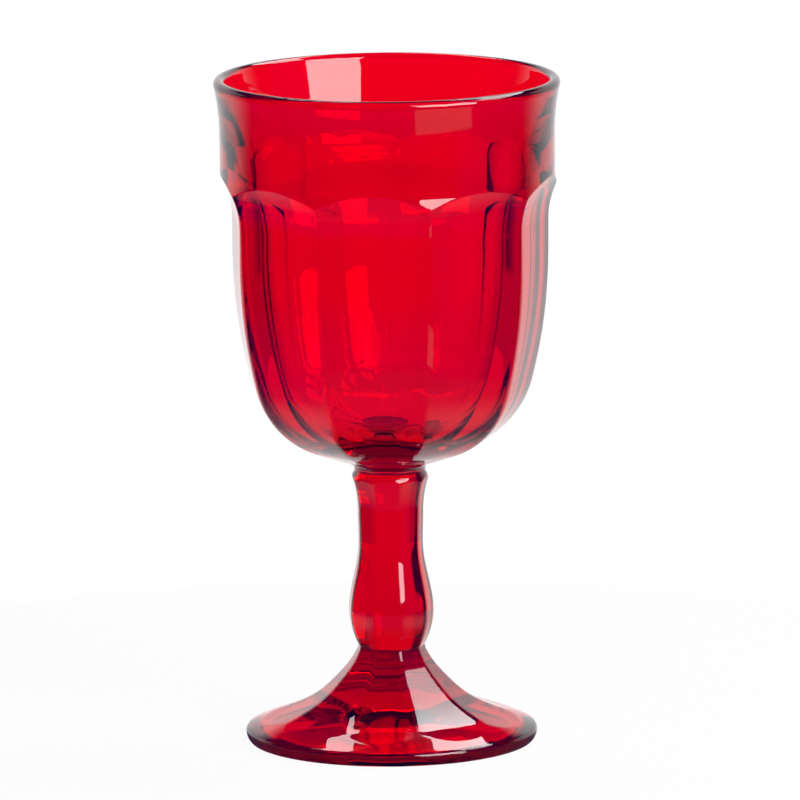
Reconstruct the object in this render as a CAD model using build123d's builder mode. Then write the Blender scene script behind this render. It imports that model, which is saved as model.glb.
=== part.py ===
# A stemmed water goblet of pressed glass: bowl, collar, stem and foot.
# The pieces are joined hot on the real goblet, so here they meet on flat faces.
# Millimetres, +Z up, the origin on the table at the middle of the foot.
import os
from math import cos, pi, radians, sin

from build123d import *

# Panels: the same count all the way down, with one facing -Y.
panel_count = 9
first_panel_angle = -90.0

# Foot, heights from the table.
foot_height = 24.0
foot_neck_apothem = 8.05
foot_neck_pitch = -68.0
foot_instep_apothem = 13.9
foot_instep_height = 15.4
foot_arch_apothem = 18.4
foot_arch_height = 11.2
foot_sole_apothem = 24.2
foot_sole_height = 8.0
foot_panel_end_apothem = 34.2
foot_panel_end_height = 4.6
foot_panel_end_pitch = -14.0
foot_ridge_trim = 0.15
foot_margin_radius = 29.0
foot_margin_height = 6.7
foot_brim_radius = 36.2
foot_brim_height = 3.6
foot_brim_pitch = -22.0
foot_radius = 37.0
foot_edge_height = 2.3
rest_ring_outer_radius = 36.0
rest_ring_inner_radius = 32.0
foot_hollow_depth = 6.8

# Stem, heights from the top of the foot.
stem_length = 45.4
stem_base_pitch = 62.0
stem_knop_apothem = 10.45
stem_knop_height = 9.2
stem_waist_apothem = 8.15
stem_waist_height = 24.2
stem_scoop_drop = 10.7
stem_scoop_radius = 30.0
stem_scoop_turn = 35.0
stem_crown_drop = 2.4
stem_top_radius = 10.0
stem_ridge_trim = 0.15

# Collar between stem and bowl.
collar_height = 2.2
collar_seat_radius = 9.0
collar_bulge = 0.55

# Bowl, heights from the top of the collar.
bowl_height = 98.4
rim_radius = 43.8
rim_flare = 1.45
lip_thickness = 2.5
band_flare_height = 84.0
band_foot_height = 75.0
cusp_flare = 0.75
bowl_cusp_height = 71.0
panel_depth = 3.85
bowl_scoop_height = 61.8
bowl_scoop_radius = 22.0
bowl_scoop_turn = 50.0
bowl_wall_height = 53.4
bowl_shoulder_tuck = 4.1
bowl_shoulder_height = 20.4
bowl_base_apothem = 18.3
bowl_base_height = 2.9
bowl_seat_apothem = 10.2
bowl_ridge_trim = 0.45

# Cavity of the bowl, heights from the top of the collar.
wall_thickness = 3.0
cavity_wall_height = 56.4
cavity_shoulder_tuck = 6.2
cavity_shoulder_height = 20.4
cavity_floor_radius = 18.0
cavity_floor_height = 10.1
floor_thickness = 7.6

# Levels of the joints, from the table up.
stem_base_z = foot_height
collar_base_z = stem_base_z + stem_length
bowl_base_z = collar_base_z + collar_height

# A corner between two flat panels stands this much further out than their middles.
corner_factor = 1 / cos(pi / panel_count)

# Room that the cutting tools keep outside the glass.
tool_margin = 5.0


def ridge_radius(apothem, trim):
    """Radius of the softened ridge between two panels with this apothem."""
    return apothem * corner_factor - trim


def heading(pitch):
    """Direction in a profile that climbs outward at this many degrees."""
    return (cos(radians(pitch)), sin(radians(pitch)))


def upright_plane(level):
    """The plane through the axis that profiles are drawn on, with its zero at this level."""
    return Plane(origin=(0, 0, level), x_dir=(1, 0, 0), z_dir=(0, -1, 0))


# Foot: a round blank with the ridges' outline, then the panels pressed into it.
foot_ridge_neck = ridge_radius(foot_neck_apothem, foot_ridge_trim)
foot_ridge_instep = ridge_radius(foot_instep_apothem, foot_ridge_trim)
foot_ridge_arch = ridge_radius(foot_arch_apothem, foot_ridge_trim)

with BuildPart() as foot_panel:
    with BuildSketch(upright_plane(0)):
        with BuildLine():
            slope = Spline(
                (foot_neck_apothem, foot_height),
                (foot_instep_apothem, foot_instep_height),
                (foot_arch_apothem, foot_arch_height),
                (foot_sole_apothem, foot_sole_height),
                (foot_panel_end_apothem, foot_panel_end_height),
                tangents=[heading(foot_neck_pitch), heading(foot_panel_end_pitch)],
            )
            Polyline(
                slope @ 1,
                (foot_radius + tool_margin, foot_panel_end_height),
                (foot_radius + tool_margin, foot_height + tool_margin),
                (foot_neck_apothem, foot_height + tool_margin),
                slope @ 0,
            )
        make_face()
    extrude(amount=foot_radius, both=True)

with BuildPart() as foot:
    with BuildSketch(upright_plane(0)):
        with BuildLine():
            ridge = Spline(
                (foot_ridge_neck, foot_height),
                (foot_ridge_instep, foot_instep_height),
                (foot_ridge_arch, foot_arch_height),
                (foot_margin_radius, foot_margin_height),
                (foot_brim_radius, foot_brim_height),
                tangents=[heading(foot_neck_pitch), heading(foot_brim_pitch)],
            )
            brim = TangentArc(ridge @ 1, (foot_radius, foot_edge_height), tangent=ridge % 1)
            edge = TangentArc(brim @ 1, (rest_ring_outer_radius, 0), tangent=(0, -1))
            ring = Line(edge @ 1, (rest_ring_inner_radius, 0))
            hollow = TangentArc((0, foot_hollow_depth), ring @ 1, tangent=(1, 0))
            Polyline(hollow @ 0, (0, foot_height), ridge @ 0)
        make_face()
    revolve(axis=Axis.Z)
    with PolarLocations(0, panel_count, start_angle=first_panel_angle):
        add(foot_panel.part, mode=Mode.SUBTRACT)

# Stem: a round blank, then the panels with their scooped tops pressed into it.
stem_ridge_foot = ridge_radius(foot_neck_apothem, stem_ridge_trim)
stem_ridge_knop = ridge_radius(stem_knop_apothem, stem_ridge_trim)
stem_ridge_waist = ridge_radius(stem_waist_apothem, stem_ridge_trim)
stem_scoop_height = stem_length - stem_scoop_drop
stem_crown_height = stem_length - stem_crown_drop

with BuildPart() as stem_panel:
    with BuildSketch(upright_plane(stem_base_z)):
        with BuildLine():
            swell = Spline(
                (foot_neck_apothem, 0),
                (stem_knop_apothem, stem_knop_height),
                (stem_waist_apothem, stem_waist_height),
                (stem_waist_apothem, stem_scoop_height),
                tangents=[heading(stem_base_pitch), (0, 1)],
            )
            scoop = JernArc(swell @ 1, (0, 1), stem_scoop_radius, -stem_scoop_turn)
            Polyline(
                scoop @ 1,
                (stem_knop_apothem + tool_margin, stem_length + tool_margin),
                (stem_knop_apothem + tool_margin, -tool_margin),
                (foot_neck_apothem, -tool_margin),
                swell @ 0,
            )
        make_face()
    extrude(amount=stem_knop_apothem, both=True)

with BuildPart() as stem:
    with BuildSketch(upright_plane(stem_base_z)):
        with BuildLine():
            outline = Spline(
                (stem_ridge_foot, 0),
                (stem_ridge_knop, stem_knop_height),
                (stem_ridge_waist, stem_waist_height),
                (stem_ridge_waist, stem_scoop_height),
                (stem_top_radius, stem_crown_height),
                tangents=[heading(stem_base_pitch), (0, 1)],
            )
            crown = TangentArc(outline @ 1, (collar_seat_radius, stem_length), tangent=(0, 1))
            Polyline(crown @ 1, (0, stem_length), (0, 0), outline @ 0)
        make_face()
    revolve(axis=Axis.Z)
    with PolarLocations(0, panel_count, start_angle=first_panel_angle):
        add(stem_panel.part, mode=Mode.SUBTRACT)

# Collar: a small round ring, swollen at its middle.
with BuildPart() as collar:
    with BuildSketch(upright_plane(collar_base_z)):
        with BuildLine():
            swell = ThreePointArc(
                (collar_seat_radius, 0),
                (collar_seat_radius + collar_bulge, collar_height / 2),
                (collar_seat_radius, collar_height),
            )
            Polyline(swell @ 1, (0, collar_height), (0, 0), swell @ 0)
        make_face()
    revolve(axis=Axis.Z)

# Bowl: a round blank with its cavity, then the panels with scooped tops pressed into it.
band_radius = rim_radius - rim_flare
cusp_radius = band_radius + cusp_flare
bowl_wall_apothem = band_radius - panel_depth
bowl_shoulder_apothem = bowl_wall_apothem - bowl_shoulder_tuck
cavity_wall_radius = bowl_wall_apothem - wall_thickness
cavity_shoulder_radius = cavity_wall_radius - cavity_shoulder_tuck
bowl_ridge_seat = ridge_radius(bowl_seat_apothem, bowl_ridge_trim)
bowl_ridge_base = ridge_radius(bowl_base_apothem, bowl_ridge_trim)
bowl_ridge_shoulder = ridge_radius(bowl_shoulder_apothem, bowl_ridge_trim)
bowl_ridge_wall = ridge_radius(bowl_wall_apothem, bowl_ridge_trim)
lip_radius = lip_thickness / 2
lip_height = bowl_height - lip_radius

with BuildPart() as bowl_panel:
    with BuildSketch(upright_plane(bowl_base_z)):
        with BuildLine():
            scoop_start = (bowl_wall_apothem, bowl_scoop_height)
            scoop = JernArc(scoop_start, (0, 1), bowl_scoop_radius, -bowl_scoop_turn)
            wall = Line(scoop_start, (bowl_wall_apothem, bowl_wall_height))
            side = TangentArc(wall @ 1, (bowl_shoulder_apothem, bowl_shoulder_height), tangent=(0, -1))
            turn = TangentArc(side @ 1, (bowl_base_apothem, bowl_base_height), tangent=side % 1)
            Polyline(
                turn @ 1,
                (bowl_seat_apothem, 0),
                (bowl_seat_apothem, -tool_margin),
                (rim_radius + tool_margin, -tool_margin),
                (rim_radius + tool_margin, (scoop @ 1).Y),
                scoop @ 1,
            )
        make_face()
    extrude(amount=rim_radius, both=True)

with BuildPart() as bowl:
    with BuildSketch(upright_plane(bowl_base_z)):
        with BuildLine():
            base = Line((bowl_ridge_seat, 0), (bowl_ridge_base, bowl_base_height))
            wall = Line((bowl_ridge_wall, bowl_wall_height), (bowl_ridge_wall, bowl_scoop_height))
            side = TangentArc(
                wall @ 0, (bowl_ridge_shoulder, bowl_shoulder_height), tangent=(0, -1)
            )
            TangentArc(side @ 1, base @ 1, tangent=side % 1)
            ledge = TangentArc(wall @ 1, (cusp_radius, bowl_cusp_height), tangent=(0, 1))
            band = Line((band_radius, band_foot_height), (band_radius, band_flare_height))
            TangentArc(band @ 0, ledge @ 1, tangent=(0, -1))
            flare = TangentArc(band @ 1, (rim_radius, lip_height), tangent=(0, 1))
            lip = ThreePointArc(
                flare @ 1, (rim_radius - lip_radius, bowl_height), (rim_radius - lip_thickness, lip_height)
            )
            inner_wall = (cavity_wall_radius, cavity_wall_height)
            TangentArc(inner_wall, lip @ 1, tangent=(0, 1))
            inner_side = TangentArc(
                inner_wall, (cavity_shoulder_radius, cavity_shoulder_height), tangent=(0, -1)
            )
            inner_turn = TangentArc(
                inner_side @ 1, (cavity_floor_radius, cavity_floor_height), tangent=inner_side % 1
            )
            floor = TangentArc((0, floor_thickness), inner_turn @ 1, tangent=(1, 0))
            Polyline(floor @ 0, (0, 0), base @ 0)
        make_face()
    revolve(axis=Axis.Z)
    with PolarLocations(0, panel_count, start_angle=first_panel_angle):
        add(bowl_panel.part, mode=Mode.SUBTRACT)

# One file for each piece.
os.makedirs("parts", exist_ok=True)
for name, piece in [("foot", foot), ("stem", stem), ("collar", collar), ("bowl", bowl)]:
    piece.part.label = name
    export_step(piece.part, f"parts/{name}.step")
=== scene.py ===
# A stemmed water goblet of red pressed glass on a white table.
# Metres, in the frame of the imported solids: +Z up, the origin under the middle of the foot.
import math

import bpy
import numpy as np
from mathutils import Matrix, Vector


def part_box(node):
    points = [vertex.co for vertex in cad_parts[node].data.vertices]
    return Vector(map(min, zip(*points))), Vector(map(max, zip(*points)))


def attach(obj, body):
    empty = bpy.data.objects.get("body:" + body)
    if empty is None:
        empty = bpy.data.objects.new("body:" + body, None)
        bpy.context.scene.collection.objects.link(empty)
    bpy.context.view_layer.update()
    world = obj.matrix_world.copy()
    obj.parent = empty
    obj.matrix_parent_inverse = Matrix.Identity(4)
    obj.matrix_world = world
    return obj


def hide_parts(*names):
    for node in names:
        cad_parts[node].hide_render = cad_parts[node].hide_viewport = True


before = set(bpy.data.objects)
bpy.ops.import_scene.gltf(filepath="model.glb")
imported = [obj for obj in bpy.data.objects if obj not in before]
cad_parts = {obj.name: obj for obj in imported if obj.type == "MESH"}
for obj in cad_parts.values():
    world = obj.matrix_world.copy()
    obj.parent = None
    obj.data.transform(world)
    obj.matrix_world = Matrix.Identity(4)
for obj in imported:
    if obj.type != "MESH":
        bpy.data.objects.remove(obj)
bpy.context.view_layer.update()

# Foot: the wide base that the goblet stands on, pressed in red glass.
# Nine panels run down from the neck and end in low arches above a round margin.
# Its top is fused to the stem, and its underside is hollow inside the ring that it rests on.
panel_count = 9
half_panel = math.pi / panel_count
straight_up, straight_down, straight_out = math.pi / 2, -math.pi / 2, 0.0
joint_slit = 0.00001
joint_reach = 0.012
joint_rows = 4

_, foot_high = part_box("foot")
foot_height = foot_high[2]
foot_radius = foot_high[0]
foot_neck = (0.00818, foot_height)
foot_below_neck = (0.00840, foot_height - 0.00085)
foot_instep = (0.0139, 0.0154)
foot_arch = (0.0184, 0.0112)
foot_sole = (0.0242, 0.0080)
foot_panel_end = (0.0342, 0.0046)
foot_panel_heading = math.radians(-14)
foot_margin_top = (0.0240, 0.0090)
foot_margin = (0.0290, 0.0067)
foot_margin_heading = math.radians(-27)
foot_brim = (0.0362, 0.0036)
foot_brim_heading = math.radians(-22)
foot_edge = (foot_radius, 0.0023)
foot_ring_outer = (0.0360, 0.0)
foot_ring_inner = (0.0320, 0.0)
foot_hollow = (0.0, 0.0068)
foot_ridge_share = 0.22
foot_arch_nearest, foot_arch_farthest = 0.0225, 0.0341
foot_columns = 28
foot_panel_steps, foot_margin_steps = 240, 60
foot_panel_rows, foot_margin_rows = 60, 8
foot_brim_rows, foot_edge_rows, foot_ring_rows, foot_hollow_rows = 10, 8, 3, 24


def along_line(start, end, steps):
    """Points from start to end, without the start."""
    start, end = np.array(start), np.array(end)
    return [start + (end - start) * step / steps for step in range(1, steps + 1)]


def along_arc(start, heading, end, steps):
    """Points on the arc that leaves start along heading, without the start."""
    start, chord = np.array(start), np.array(end) - np.array(start)
    turn = math.atan2(chord[1], chord[0]) - heading
    turn = math.atan2(math.sin(turn), math.cos(turn))
    points = []
    for step in range(1, steps + 1):
        part = turn * step / steps
        reach = np.hypot(*chord) * math.sin(part) / math.sin(turn)
        points.append(start + reach * np.array((math.cos(heading + part), math.sin(heading + part))))
    return points


def along_curve(knots, first_heading, last_heading, steps):
    """Points on the smooth curve through the knots, with the start."""
    knots = np.array(knots)
    gaps = np.hypot(*np.diff(knots, axis=0).T)
    count = len(knots)
    matrix, right = np.zeros((count, count)), np.zeros((count, 2))
    matrix[0, 0] = matrix[-1, -1] = 1
    right[0] = math.cos(first_heading), math.sin(first_heading)
    right[-1] = math.cos(last_heading), math.sin(last_heading)
    for k in range(1, count - 1):
        before, after = gaps[k - 1], gaps[k]
        matrix[k, k - 1 : k + 2] = after, 2 * (before + after), before
        step_in, step_out = knots[k] - knots[k - 1], knots[k + 1] - knots[k]
        right[k] = 3 * (step_in * after / before + step_out * before / after)
    slopes = np.linalg.solve(matrix, right)
    points = []
    for place in np.linspace(0, count - 1, steps + 1):
        k = min(int(place), count - 2)
        s = place - k
        points.append(
            knots[k] * (2 * s**3 - 3 * s**2 + 1)
            + knots[k + 1] * (3 * s**2 - 2 * s**3)
            + slopes[k] * gaps[k] * (s**3 - 2 * s**2 + s)
            + slopes[k + 1] * gaps[k] * (s**3 - s**2)
        )
    return points


def panel_reach(apothem, angle, ridge_radius):
    """How far the glass reaches from the axis, on panels with this apothem and rounded ridges."""
    from_ridge = half_panel - abs(angle)
    centre = (apothem - ridge_radius) / math.cos(half_panel)
    if math.tan(abs(angle)) <= (apothem - ridge_radius) * math.tan(half_panel) / apothem:
        return apothem / math.cos(angle)
    return centre * math.cos(from_ridge) + math.sqrt(ridge_radius**2 - (centre * math.sin(from_ridge)) ** 2)


def column_angles(columns):
    """Angles across one panel, closer together towards its ridges."""
    crowding = 0.3
    spread = np.linspace(-1, 1, columns + 1)
    return half_panel * ((1 + crowding) * spread - crowding * spread**3)


def solve_between(low, high, difference):
    """The value between low and high where the difference changes sign."""
    halvings = 40
    rising = difference(high) > 0
    for _ in range(halvings):
        middle = (low + high) / 2
        if (difference(middle) > 0) == rising:
            high = middle
        else:
            low = middle
    return (low + high) / 2


foot_panel_knots = [foot_neck, foot_below_neck, foot_instep, foot_arch, foot_sole, foot_panel_end]
foot_panel = along_curve(foot_panel_knots, straight_down, foot_panel_heading, foot_panel_steps)
foot_panel_reaches, foot_panel_heights = np.array(foot_panel).T
foot_margin_knots = [foot_margin_top, foot_margin, foot_brim]
foot_margin_line = along_curve(foot_margin_knots, foot_margin_heading, foot_brim_heading, foot_margin_steps)
foot_margin_reaches, foot_margin_heights = np.array(foot_margin_line).T
brim_to_edge = along_arc(foot_brim, foot_brim_heading, foot_edge, foot_brim_rows)
edge_to_ring = along_arc(foot_edge, straight_down, foot_ring_outer, foot_edge_rows)
foot_top = foot_height - joint_slit


def foot_outline(angle):
    """The foot's outline at one angle, from the middle of its hollow to the middle of its top."""

    def panel_height(apothem):
        return np.interp(apothem, foot_panel_reaches, foot_panel_heights)

    def reach_at(apothem):
        return panel_reach(apothem, angle, foot_ridge_share * apothem)

    def margin_height(reach):
        return np.interp(reach, foot_margin_reaches, foot_margin_heights)

    def above_margin(apothem):
        return margin_height(reach_at(apothem)) - panel_height(apothem)

    end = solve_between(foot_arch_nearest, foot_arch_farthest, above_margin)
    points = [np.array(foot_hollow)]
    points += along_arc(foot_hollow, straight_out, foot_ring_inner, foot_hollow_rows)
    points += along_line(foot_ring_inner, foot_ring_outer, foot_ring_rows)
    points += edge_to_ring[-2::-1] + [np.array(foot_edge)]
    points += brim_to_edge[-2::-1] + [np.array(foot_brim)]
    for reach in np.linspace(foot_brim[0], reach_at(end), foot_margin_rows + 1)[1:]:
        points.append(np.array((reach, margin_height(reach))))
    for share in np.linspace(1, 0, foot_panel_rows + 1)[1:]:
        apothem = foot_neck[0] + (end - foot_neck[0]) * share**2
        points.append(np.array((reach_at(apothem), min(panel_height(apothem), foot_top))))
    neck = points[-1][0]
    points += along_line((neck, foot_top), (0.0, foot_top), joint_rows)
    return points


# The glass is coloured in the melt, so it is deeper red where it is thicker. Fire polishing leaves it
# a bright, slightly wavy skin. The skin also gives off a faint painted bluish glow, an emission of its own.
glass_ior = 1.52
plain_white = (1.0, 1.0, 1.0, 1.0)
red_density = 2800.0
red_tint = (0.9921, 0.0, 0.25, 1.0)
painted_glow_tint = (0.0, 0.0, 1.0, 1.0)
painted_glow_level = 0.008
wave_size = 0.011
wave_height = 0.00006
glass_bounces = 32


def add_absorption(material):
    """The red of the melt, which takes more light the longer its way through the glass is."""
    tree = material.node_tree
    body = tree.nodes.new("ShaderNodeVolumeAbsorption")
    body.inputs["Color"].default_value = red_tint
    body.inputs["Density"].default_value = red_density
    tree.links.new(body.outputs["Volume"], tree.nodes["Material Output"].inputs["Volume"])


red_glass = bpy.data.materials.new("red_glass")
red_glass.use_nodes = True
glass_tree = red_glass.node_tree
skin = glass_tree.nodes["Principled BSDF"]
skin.inputs["Base Color"].default_value = plain_white
skin.inputs["Roughness"].default_value = 0.0
skin.inputs["IOR"].default_value = glass_ior
skin.inputs["Transmission Weight"].default_value = 1.0
# Painted glow: the skin emits a faint blue light of its own, though it is no lamp.
skin.inputs["Emission Color"].default_value = painted_glow_tint
skin.inputs["Emission Strength"].default_value = painted_glow_level
add_absorption(red_glass)
place_on_piece = glass_tree.nodes.new("ShaderNodeTexCoord")
waves = glass_tree.nodes.new("ShaderNodeTexNoise")
waves.inputs["Scale"].default_value = 1 / wave_size
waves.inputs["Detail"].default_value = 1.0
glass_tree.links.new(place_on_piece.outputs["Object"], waves.inputs["Vector"])
ripple = glass_tree.nodes.new("ShaderNodeBump")
ripple.inputs["Strength"].default_value = 1.0
ripple.inputs["Distance"].default_value = wave_height
glass_tree.links.new(waves.outputs["Fac"], ripple.inputs["Height"])
glass_tree.links.new(ripple.outputs["Normal"], skin.inputs["Normal"])

light_paths = bpy.context.scene.cycles
light_paths.max_bounces = light_paths.glossy_bounces = light_paths.transmission_bounces = glass_bounces
light_paths.transparent_max_bounces = glass_bounces

# Where two pieces were fused hot, the glass runs through without a skin. The seams at the collar are given
# a faint painted red glow, an emission that stands in for light caught in the seams.
painted_seam_glow = (1.0, 0.0, 0.1, 1.0)
painted_seam_level = 0.06
fused_slot, seam_slot = 1, 2

fused_glass = bpy.data.materials.new("fused_glass")
fused_glass.use_nodes = True
fused_glass.node_tree.nodes["Principled BSDF"].inputs["Alpha"].default_value = 0.0
add_absorption(fused_glass)

seam_glass = fused_glass.copy()
seam_glass.name = "seam_glass"
seam_tree = seam_glass.node_tree
clear_seam = seam_tree.nodes["Principled BSDF"]
# Painted glow: the seam emits a little red light of its own, though it is no lamp.
painted_seam_emission = seam_tree.nodes.new("ShaderNodeEmission")
painted_seam_emission.inputs["Color"].default_value = painted_seam_glow
painted_seam_emission.inputs["Strength"].default_value = painted_seam_level
both = seam_tree.nodes.new("ShaderNodeAddShader")
seam_tree.links.new(clear_seam.outputs["BSDF"], both.inputs[0])
seam_tree.links.new(painted_seam_emission.outputs["Emission"], both.inputs[1])
seam_tree.links.new(both.outputs["Shader"], seam_tree.nodes["Material Output"].inputs["Surface"])


def press_piece(name, angles, outlines, joints):
    """One panel's share of the piece, from its outline at each angle, spun round the axis."""
    merge_distance = 0.000001
    crease_angle = math.radians(40)
    grid_size = 2
    columns, rows = len(angles) - 1, len(outlines[0]) - 1
    bpy.ops.object.select_all(action="DESELECT")
    bpy.ops.mesh.primitive_grid_add(x_subdivisions=columns, y_subdivisions=rows, size=grid_size)
    piece = bpy.context.object
    piece.name = piece.data.name = name
    for vertex in piece.data.vertices:
        column = round((vertex.co.x / grid_size + 0.5) * columns)
        row = round((vertex.co.y / grid_size + 0.5) * rows)
        reach, height = outlines[column][row]
        angle = angles[column]
        vertex.co = (reach * math.sin(angle), -reach * math.cos(angle), height)
    bpy.ops.object.mode_set(mode="EDIT")
    bpy.ops.mesh.select_all(action="SELECT")
    bpy.ops.mesh.spin(
        steps=panel_count - 1,
        dupli=True,
        angle=2 * half_panel * (panel_count - 1),
        center=(0, 0, 0),
        axis=(0, 0, 1),
    )
    bpy.ops.mesh.select_all(action="SELECT")
    bpy.ops.mesh.remove_doubles(threshold=merge_distance)
    bpy.ops.mesh.normals_make_consistent(inside=False)
    bpy.ops.object.mode_set(mode="OBJECT")
    bpy.ops.object.shade_smooth_by_angle(angle=crease_angle)
    for material in (red_glass, fused_glass, seam_glass):
        piece.data.materials.append(material)
    for face in piece.data.polygons:
        centre = face.center
        for level, radius, slot in joints:
            if abs(centre.z - level) < joint_slit and math.hypot(centre.x, centre.y) < radius:
                face.material_index = slot
    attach(piece, "root")
    return piece


foot_angles = column_angles(foot_columns)
foot = press_piece(
    "foot_glass",
    foot_angles,
    [foot_outline(angle) for angle in foot_angles],
    [(foot_top, joint_reach, fused_slot)],
)
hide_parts("foot")

# Stem: a baluster with nine panels, swollen low down, pressed in the same red glass.
# Each panel is scooped out under the collar and ends there in a small arch.
# It is fused to the foot below and to the collar above.
stem_low, stem_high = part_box("stem")
stem_base, stem_top = stem_low[2] + joint_slit, stem_high[2] - joint_slit
stem_above_neck = (foot_below_neck[0], stem_low[2] + 0.00065)
stem_knop = (0.01045, stem_low[2] + 0.0092)
stem_waist = (0.00815, stem_low[2] + 0.0242)
stem_scoop = (stem_waist[0], stem_high[2] - 0.0107)
stem_scoop_radius = 0.030
stem_crown = (0.0100, stem_high[2] - 0.0036)
stem_ridge_radius = 0.0036
collar_seat_radius = 0.0090
stem_columns = 20
stem_swell_rows, stem_scoop_rows, stem_crown_rows = 72, 12, 8

stem_knots = [(foot_neck[0], stem_base), stem_above_neck, stem_knop, stem_waist, stem_scoop]
stem_swell = along_curve(stem_knots, straight_up, straight_up, stem_swell_rows)
last_scoop_turn = math.asin((stem_top - stem_scoop[1]) / stem_scoop_radius)
crown_rise, crown_inset = stem_high[2] - stem_crown[1], stem_crown[0] - collar_seat_radius
crown_radius = (crown_rise**2 + crown_inset**2) / (2 * crown_inset)


def crown_reach(level):
    """Radius of the stem's round top, which curves in to the collar."""
    rise = max(level - stem_crown[1], 0.0)
    return stem_crown[0] - crown_radius + math.sqrt(crown_radius**2 - rise**2)


def stem_outline(angle):
    """The stem's outline at one angle, from the middle of its base to the middle of its top."""

    def scoop_point(turn):
        apothem = stem_scoop[0] + stem_scoop_radius * (1 - math.cos(turn))
        reach = panel_reach(apothem, angle, stem_ridge_radius)
        return np.array((reach, stem_scoop[1] + stem_scoop_radius * math.sin(turn)))

    def past_crown(turn):
        reach, level = scoop_point(turn)
        return reach - crown_reach(level)

    end = solve_between(0.0, last_scoop_turn, past_crown)
    base_reach = panel_reach(foot_neck[0], angle, stem_ridge_radius)
    points = [np.array((0.0, stem_base))]
    points += along_line((0.0, stem_base), (base_reach, stem_base), joint_rows)
    for apothem, height in stem_swell[1:]:
        points.append(np.array((panel_reach(apothem, angle, stem_ridge_radius), height)))
    points += [scoop_point(end * step / stem_scoop_rows) for step in range(1, stem_scoop_rows + 1)]
    for level in np.linspace(points[-1][1], stem_top, stem_crown_rows + 1)[1:]:
        points.append(np.array((crown_reach(level), level)))
    points += along_line(points[-1], (0.0, stem_top), joint_rows)
    return points


stem_angles = column_angles(stem_columns)
stem = press_piece(
    "stem_glass",
    stem_angles,
    [stem_outline(angle) for angle in stem_angles],
    [(stem_base, joint_reach, fused_slot), (stem_top, collar_seat_radius, seam_slot)],
)
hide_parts("stem")

# Collar: the small ring of red glass between the stem and the bowl.
# It is a bead of hot glass that was squeezed between the two and fused to both,
# so its side sweeps out from the stem's round top to the bowl's panelled seat.
collar_low, collar_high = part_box("collar")
collar_base, collar_top = collar_low[2] + joint_slit, collar_high[2] - joint_slit
seat_apothem = 0.0102
ridge_share = 0.12
collar_columns, collar_side_rows = 20, 12


def collar_outline(angle):
    """The collar's outline at one angle, from the middle of its base to the middle of its top."""
    seat_reach = panel_reach(seat_apothem, angle, ridge_share * seat_apothem)
    lower_edge, upper_edge = (collar_seat_radius, collar_base), (seat_reach, collar_top)
    points = [np.array((0.0, collar_base))]
    points += along_line((0.0, collar_base), lower_edge, joint_rows)
    points += along_arc(lower_edge, straight_up, upper_edge, collar_side_rows)
    points += along_line(upper_edge, (0.0, collar_top), joint_rows)
    return points


collar_angles = column_angles(collar_columns)
collar = press_piece(
    "collar_glass",
    collar_angles,
    [collar_outline(angle) for angle in collar_angles],
    [(collar_base, seat_apothem, seam_slot), (collar_top, joint_reach, seam_slot)],
)
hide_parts("collar")

# Bowl: the cup, pressed in red glass with a smooth round cavity left by the plunger.
# Its nine flat panels have soft ridges and end in scooped arches, whose tips flare out a little
# below the plain lip band. The rim is rounded in the fire, and the base is fused to the collar.
bowl_low, bowl_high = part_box("bowl")
bowl_base, bowl_top = bowl_low[2] + joint_slit, bowl_high[2]
rim_radius = bowl_high[0]
rim_flare = 0.00145
lip_radius = 0.0015
band_radius = rim_radius - rim_flare
band_flare_level = bowl_low[2] + 0.0840
band_foot_level = bowl_low[2] + 0.0745
cusp_flare = 0.00062
cusp_level = bowl_low[2] + 0.0710
wall_apothem = band_radius - 0.00385
scoop_level = bowl_low[2] + 0.0618
scoop_radius = 0.022
scoop_turn_limit = 0.8
wall_level = bowl_low[2] + 0.0534
shoulder = (wall_apothem - 0.0041, bowl_low[2] + 0.0204)
base_edge = (0.0183, bowl_low[2] + 0.0029)
ridge_crisp_share = 0.07
ridge_soft_level = bowl_low[2] + 0.0450
cusp_ridge_radius = 0.0005
arch_edge_radius = 0.00035
cavity_wall = (wall_apothem - 0.0030, bowl_low[2] + 0.0564)
cavity_shoulder = (cavity_wall[0] - 0.0062, bowl_low[2] + 0.0204)
cavity_floor = (0.0180, bowl_low[2] + 0.0101)
cavity_middle = (0.0, bowl_low[2] + 0.0076)
bowl_columns = 36
base_rows, turn_rows, side_rows, wall_rows, scoop_rows = 8, 30, 30, 6, 18
arch_edge_rows, toe_rows, band_rows, flare_rows, lip_rows = 5, 8, 6, 12, 12
cavity_top_rows, cavity_side_rows, cavity_turn_rows, cavity_floor_rows = 20, 20, 18, 12


def arc_end_heading(start, heading, end):
    """Heading at the far end of the arc that leaves start along heading."""
    return 2 * math.atan2(end[1] - start[1], end[0] - start[0]) - heading


side_start = (wall_apothem, wall_level)
side = along_arc(side_start, straight_down, shoulder, side_rows)
side_heading = arc_end_heading(side_start, straight_down, shoulder)
turn_in = along_arc(shoulder, side_heading, base_edge, turn_rows)
panel_side = turn_in[::-1] + [np.array(shoulder)] + side[-2::-1] + [np.array(side_start)]
panel_side += along_line(side_start, (wall_apothem, scoop_level), wall_rows)

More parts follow.
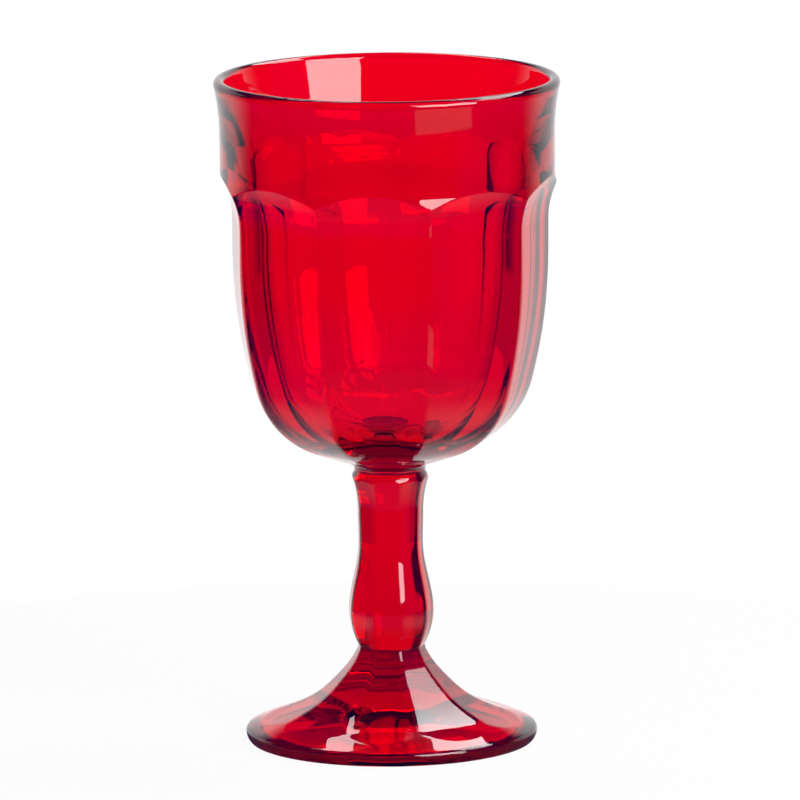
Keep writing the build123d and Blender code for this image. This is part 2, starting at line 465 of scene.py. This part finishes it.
lip_level = bowl_top - lip_radius
lip_inside = (rim_radius - 2 * lip_radius, lip_level)
lip_middle = np.array((rim_radius - lip_radius, lip_level))
band_flare = along_arc((band_radius, band_flare_level), straight_up, (rim_radius, lip_level), flare_rows)
lip = [
    lip_middle + lip_radius * np.array((math.cos(turn), math.sin(turn)))
    for turn in np.linspace(0, math.pi, lip_rows + 1)[1:]
]
cavity_top = along_arc(cavity_wall, straight_up, lip_inside, cavity_top_rows)
cavity_side = along_arc(cavity_wall, straight_down, cavity_shoulder, cavity_side_rows)
cavity_heading = arc_end_heading(cavity_wall, straight_down, cavity_shoulder)
cavity_turn = along_arc(cavity_shoulder, cavity_heading, cavity_floor, cavity_turn_rows)
cavity_bottom = along_arc(cavity_middle, straight_out, cavity_floor, cavity_floor_rows)
cavity = cavity_top[-2::-1] + [np.array(cavity_wall)] + cavity_side + cavity_turn
cavity += cavity_bottom[-2::-1] + [np.array(cavity_middle)]

toe_rise = band_foot_level - cusp_level
toe_radius = (toe_rise**2 + cusp_flare**2) / (2 * cusp_flare)


def band_reach(level):
    """Radius of the lip band, which flares out towards the arch tips below it."""
    drop = max(band_foot_level - level, 0.0)
    return band_radius + toe_radius - math.sqrt(toe_radius**2 - drop**2)


def bowl_ridge(apothem, level):
    """Radius of the ridges, which are crisper near the arches."""
    crisp = np.interp(level, (ridge_soft_level, scoop_level), (0.0, 1.0))
    return apothem * (ridge_share + (ridge_crisp_share - ridge_share) * crisp)


def bowl_outline(angle):
    """The bowl's outline at one angle, from the middle of its seat to the middle of its floor."""

    def scoop_point(turn, ridge_radius):
        apothem = wall_apothem + scoop_radius * (1 - math.cos(turn))
        reach = panel_reach(apothem, angle, ridge_radius)
        return np.array((reach, scoop_level + scoop_radius * math.sin(turn)))

    def past_band(turn):
        reach, level = scoop_point(turn, cusp_ridge_radius)
        return reach - band_reach(level)

    end = solve_between(0.0, scoop_turn_limit, past_band)
    seat_reach = panel_reach(seat_apothem, angle, ridge_share * seat_apothem)
    points = [np.array((0.0, bowl_base))]
    points += along_line((0.0, bowl_base), (seat_reach, bowl_base), joint_rows)
    base = along_line((seat_apothem, bowl_base), base_edge, base_rows)
    for apothem, level in base + panel_side[1:]:
        points.append(np.array((panel_reach(apothem, angle, bowl_ridge(apothem, level)), level)))
    edge_turn = arch_edge_radius / scoop_radius
    for step in range(1, scoop_rows + 1):
        share = step / scoop_rows
        ease = share * share * (3 - 2 * share)
        ridge_radius = ridge_crisp_share * wall_apothem * (1 - ease) + cusp_ridge_radius * ease
        points.append(scoop_point((end - edge_turn) * share, ridge_radius))
    before = points[-1]
    corner = scoop_point(end, cusp_ridge_radius)
    after = np.array((band_reach(corner[1] + arch_edge_radius), corner[1] + arch_edge_radius))
    for step in range(1, arch_edge_rows + 1):
        share = step / arch_edge_rows
        points.append(before * (1 - share) ** 2 + corner * 2 * share * (1 - share) + after * share**2)
    top = max(band_foot_level, after[1] + arch_edge_radius)
    for level in np.linspace(after[1], top, toe_rows + 1)[1:]:
        points.append(np.array((band_reach(level), level)))
    points += along_line((band_radius, top), (band_radius, band_flare_level), band_rows)
    return points + band_flare + lip + cavity


bowl_angles = column_angles(bowl_columns)
bowl = press_piece(
    "bowl_glass",
    bowl_angles,
    [bowl_outline(angle) for angle in bowl_angles],
    [(bowl_base, joint_reach, seam_slot)],
)
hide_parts("bowl")

# Table: a plain matt white top, round and a little larger than the goblet's shadow.
# Under the foot its white glow is turned down, a painted shadow, so that there only the light through the
# glass lights its matt top. Its mirror image in the glass is painted: white behind the goblet, bright
# beside it but shaded near the foot, and dim bluish in front.
table_reach = 0.22
table_sides = 96
table_drop = 0.0001
table_grey = (0.7, 0.7, 0.7, 1.0)
table_roughness = 0.8
under_foot, painted_shadow_glow_levels = (0.024, 0.036), (0.06, 0.94)
table_brim = (0.10, table_reach)
behind_goblet = (0.9, 1.7)
beside_goblet, beside_reach, painted_glow_beside_level = (2.0, 2.7), (0.09, 0.20), 0.5
near_foot, painted_shade_near_foot_level = (0.05, 0.09), 0.08
dim_red = 0.01
front_reach, front_blue = (0.045, 0.09), (0.05, 0.32)

bpy.ops.object.select_all(action="DESELECT")
bpy.ops.mesh.primitive_circle_add(
    vertices=table_sides, radius=table_reach, fill_type="NGON", location=(0, 0, -table_drop)
)
table = bpy.context.object
table.name = table.data.name = "table"
bpy.ops.object.transform_apply(location=True, rotation=True, scale=True)
white_table = bpy.data.materials.new("white_table")
white_table.use_nodes = True
table_tree = white_table.node_tree
top_skin = table_tree.nodes["Principled BSDF"]
top_skin.inputs["Base Color"].default_value = table_grey
top_skin.inputs["Roughness"].default_value = table_roughness
top_skin.inputs["Specular IOR Level"].default_value = 0.0


def fade(tree, value, span, levels):
    """A smooth step of a value over a span, from the first level to the last."""
    step = tree.nodes.new("ShaderNodeMapRange")
    step.interpolation_type = "SMOOTHSTEP"
    for name, number in zip(("From Min", "From Max", "To Min", "To Max"), (*span, *levels)):
        step.inputs[name].default_value = number
    tree.links.new(value, step.inputs["Value"])
    return step.outputs["Result"]


def combine(tree, operation, first, second):
    """One step of arithmetic on two values that change, or on a value and a number."""
    sum_node = tree.nodes.new("ShaderNodeMath")
    sum_node.operation = operation
    for value, socket in zip((first, second), sum_node.inputs):
        if isinstance(value, float):
            socket.default_value = value
        else:
            tree.links.new(value, socket)
    return sum_node.outputs["Value"]


def blend_colours(tree, factor):
    """A mix of two colours by a factor that changes."""
    mix = tree.nodes.new("ShaderNodeMix")
    mix.data_type = "RGBA"
    tree.links.new(factor, mix.inputs["Factor"])
    return mix


def dim_bluish(tree, blue):
    """A dim colour with an amount of blue that changes: the unlit room, and the painted shade in front on
    the table's mirror image.
    """
    colour = tree.nodes.new("ShaderNodeCombineColor")
    colour.inputs["Red"].default_value = dim_red
    tree.links.new(blue, colour.inputs["Blue"])
    return colour.outputs["Color"]


spot = table_tree.nodes.new("ShaderNodeTexCoord")
span_from_middle = table_tree.nodes.new("ShaderNodeVectorMath")
span_from_middle.operation = "LENGTH"
table_tree.links.new(spot.outputs["Object"], span_from_middle.inputs[0])
from_middle = span_from_middle.outputs["Value"]
spot_parts = table_tree.nodes.new("ShaderNodeSeparateXYZ")
table_tree.links.new(spot.outputs["Object"], spot_parts.inputs["Vector"])
round_goblet = combine(table_tree, "ARCTAN2", spot_parts.outputs["X"], spot_parts.outputs["Y"])
round_goblet = combine(table_tree, "ABSOLUTE", round_goblet, 0.0)

table_ray = table_tree.nodes.new("ShaderNodeLightPath").outputs
seen = combine(table_tree, "MAXIMUM", table_ray["Is Camera Ray"], table_ray["Is Transmission Ray"])
# Painted reflection: in mirror images only, the table glows beside the goblet, with painted shade near the
# foot.
painted_glow_beside = fade(table_tree, from_middle, beside_reach, (painted_glow_beside_level, 0.0))
painted_glow_beside = combine(table_tree, "MULTIPLY", painted_glow_beside, fade(table_tree, round_goblet, beside_goblet, (1.0, 0.0)))
painted_shade_near_foot = fade(table_tree, from_middle, near_foot, (painted_shade_near_foot_level, 1.0))
painted_glow_beside = combine(table_tree, "MULTIPLY", painted_glow_beside, painted_shade_near_foot)
behind = fade(table_tree, round_goblet, behind_goblet, (1.0, 0.0))
painted_white_in_mirror = combine(table_tree, "MAXIMUM", painted_glow_beside, behind)

table_colour = blend_colours(table_tree, combine(table_tree, "MAXIMUM", seen, painted_white_in_mirror))
# Painted shade: in mirror images only, the table in front of the goblet is dim bluish.
painted_dim_front = dim_bluish(table_tree, fade(table_tree, from_middle, front_reach, front_blue))
table_tree.links.new(painted_dim_front, table_colour.inputs["A"])
table_colour.inputs["B"].default_value = plain_white
glow = table_tree.nodes.new("ShaderNodeEmission")
table_tree.links.new(table_colour.outputs["Result"], glow.inputs["Color"])
# Painted shadow: the table's white glow is turned down under the foot, leaving only its lit matt top there.
out_of_painted_shadow = fade(table_tree, from_middle, under_foot, painted_shadow_glow_levels)
outward = fade(table_tree, from_middle, table_brim, (0.0, 1.0))
lit_top = table_tree.nodes.new("ShaderNodeMixShader")
table_tree.links.new(combine(table_tree, "MAXIMUM", out_of_painted_shadow, outward), lit_top.inputs["Fac"])
table_tree.links.new(top_skin.outputs["BSDF"], lit_top.inputs[1])
table_tree.links.new(glow.outputs["Emission"], lit_top.inputs[2])
table_tree.links.new(lit_top.outputs["Shader"], table_tree.nodes["Material Output"].inputs["Surface"])
table.data.materials.append(white_table)

# Camera: it stands 2.8 m off with a long lens, well above the rim.
# It is turned a few degrees round the goblet, and rolled by about half a degree.
view_turn = math.radians(5.2)
camera_distance, camera_height = 2.78, 0.585
camera_lens, camera_sensor, camera_far = 501.75, 36.0, 20.0
camera_roll = math.radians(-0.45)
aim_height, aim_right, aim_down = 0.088, 0.00274, 0.00076

camera_data = bpy.data.cameras.new("camera")
camera_data.lens = camera_lens
camera_data.sensor_width = camera_sensor
camera_data.clip_end = camera_far
camera = bpy.data.objects.new("camera", camera_data)
bpy.context.scene.collection.objects.link(camera)
sight_x, sight_y = math.sin(view_turn), -math.cos(view_turn)
camera_place = np.array((camera_distance * sight_x, camera_distance * sight_y, camera_height))
goblet_middle = np.array((0, 0, aim_height))
ahead = goblet_middle - camera_place
ahead /= np.linalg.norm(ahead)
rightward = np.cross(ahead, (0, 0, 1))
rightward /= np.linalg.norm(rightward)
upward = np.cross(rightward, ahead)
aim = goblet_middle + rightward * aim_right - upward * aim_down
look = Vector(aim - camera_place).to_track_quat("-Z", "Y")
camera.location = camera_place
camera.rotation_mode = "QUATERNION"
camera.rotation_quaternion = look @ Matrix.Rotation(camera_roll, 3, "Z").to_quaternion()
bpy.context.scene.camera = camera

# Backdrop: white paper behind the goblet and a white table all round it, in a dim bluish room.
# The paper is less bright towards its sides and its foot. A patch painted into the world below the horizon,
# seen only in mirror images, stands in for a patch of table lit by the key softbox: a painted reflection.
paper_half_angle = math.radians(60)
paper_edge = math.radians(14)
paper_lift_in_glass = 0.4
paper_side_level = 0.62
paper_foot_level = 0.86
table_horizon = math.radians(-13.5)
horizon_blur = 0.03
room_level = 0.13
painted_patch_bearing, painted_patch_level = math.radians(139), 0.6
low_blue_levels = (0.32, 0.08)
right_blue_bearing, right_blue_level = math.radians(108), 0.22


def bearings(first, last):
    """A span of bearings, given in degrees."""
    return math.radians(first), math.radians(last)


def rises(first, last):
    """A span of heights on the horizon's sphere, given in degrees above the level."""
    return math.sin(math.radians(first)), math.sin(math.radians(last))


studio = bpy.data.worlds.new("studio")
bpy.context.scene.world = studio
studio.use_nodes = True
studio_tree = studio.node_tree
direction = studio_tree.nodes.new("ShaderNodeTexCoord")
turned = studio_tree.nodes.new("ShaderNodeVectorRotate")
turned.rotation_type = "Z_AXIS"
turned.inputs["Angle"].default_value = -view_turn
studio_tree.links.new(direction.outputs["Generated"], turned.inputs["Vector"])
parts = studio_tree.nodes.new("ShaderNodeSeparateXYZ")
studio_tree.links.new(turned.outputs["Vector"], parts.inputs["Vector"])
rise = parts.outputs["Z"]
bearing = combine(studio_tree, "ARCTAN2", parts.outputs["X"], parts.outputs["Y"])
aside = combine(studio_tree, "ABSOLUTE", bearing, 0.0)
studio_ray = studio_tree.nodes.new("ShaderNodeLightPath").outputs
through_glass = studio_ray["Is Transmission Ray"]
mirrored = combine(studio_tree, "SUBTRACT", studio_ray["Is Glossy Ray"], through_glass)


def away_from(centre):
    """How far a bearing lies from a centre, to either side."""
    return combine(studio_tree, "ABSOLUTE", combine(studio_tree, "SUBTRACT", bearing, centre), 0.0)


paper_sides = (paper_half_angle - paper_edge, paper_half_angle + paper_edge)
paper = fade(studio_tree, aside, paper_sides, (1.0, 0.0))
paper_lift = fade(studio_tree, through_glass, (0.0, 1.0), (0.0, paper_lift_in_glass))
paper_rise = combine(studio_tree, "SUBTRACT", rise, paper_lift)
paper = combine(studio_tree, "MULTIPLY", paper, fade(studio_tree, paper_rise, rises(22, 32), (1.0, 0.0)))
horizon = (math.sin(table_horizon - horizon_blur), math.sin(table_horizon + horizon_blur))
low_down = fade(studio_tree, rise, horizon, (1.0, 0.0))
low_down = combine(studio_tree, "MULTIPLY", low_down, through_glass)
white = combine(studio_tree, "MAXIMUM", paper, low_down)

beyond = fade(studio_tree, aside, bearings(15, 42), (1.0, paper_side_level))
below = fade(studio_tree, rise, rises(-16.5, -11.5), (paper_foot_level, 1.0))
falloff = combine(studio_tree, "MULTIPLY", beyond, below)
falloff = combine(studio_tree, "MAXIMUM", falloff, mirrored)
white = combine(studio_tree, "MULTIPLY", white, falloff)

# Painted reflection: a bright patch in the world, seen only in mirror images, stands in for lit table.
painted_lit_patch = fade(studio_tree, rise, rises(-21.5, -19.5), (painted_patch_level, 0.0))
patch_side = fade(studio_tree, away_from(painted_patch_bearing), bearings(20, 22), (1.0, 0.0))
painted_lit_patch = combine(studio_tree, "MULTIPLY", painted_lit_patch, patch_side)
painted_lit_patch = combine(studio_tree, "MULTIPLY", painted_lit_patch, mirrored)
white = combine(studio_tree, "MAXIMUM", white, painted_lit_patch)
white = combine(studio_tree, "MAXIMUM", white, studio_ray["Is Camera Ray"])

low_blue = fade(studio_tree, rise, rises(-30, -11), low_blue_levels)
right_blue = fade(studio_tree, away_from(right_blue_bearing), bearings(15, 35), (right_blue_level, 0.0))
dim_room = dim_bluish(studio_tree, combine(studio_tree, "MAXIMUM", low_blue, right_blue))
room = blend_colours(studio_tree, mirrored)
room.inputs["A"].default_value = (room_level, room_level, room_level, 1.0)
studio_tree.links.new(dim_room, room.inputs["B"])
room_and_paper = blend_colours(studio_tree, white)
studio_tree.links.new(room.outputs["Result"], room_and_paper.inputs["A"])
room_and_paper.inputs["B"].default_value = plain_white
studio_tree.links.new(room_and_paper.outputs["Result"], studio_tree.nodes["Background"].inputs["Color"])

# Lamps: three plain white softboxes. The large key hangs to the right of the camera,
# a long one behind to the right, and a small one behind the goblet.


def hang_softbox(name, turn, tilt, reach, aim_level, width, height, radiance):
    """A softbox, set by degrees right of the camera and above the table. White paper's radiance is 1."""
    turn, tilt = math.radians(turn) + view_turn, math.radians(tilt)
    level = reach * math.cos(tilt)
    place = np.array((level * math.sin(turn), -level * math.cos(turn), reach * math.sin(tilt)))
    lamp = bpy.data.lights.new(name, "AREA")
    lamp.shape = "RECTANGLE"
    lamp.size, lamp.size_y = width, height
    lamp.energy = radiance * math.pi * width * height
    box = bpy.data.objects.new(name, lamp)
    bpy.context.scene.collection.objects.link(box)
    box.location = place
    box.rotation_euler = Vector(np.array((0, 0, aim_level)) - place).to_track_quat("-Z", "Y").to_euler()


hang_softbox(
    "key_softbox", turn=41, tilt=26, reach=1.37, aim_level=0.14, width=0.95, height=0.95, radiance=9.0
)
hang_softbox(
    "right_softbox", turn=124, tilt=55, reach=1.0, aim_level=0.02, width=1.0, height=0.28, radiance=6.5
)
hang_softbox(
    "left_softbox", turn=197, tilt=54.5, reach=1.0, aim_level=0.02, width=0.26, height=0.15, radiance=5.0
)

bpy.context.scene.view_settings.view_transform = "Standard"
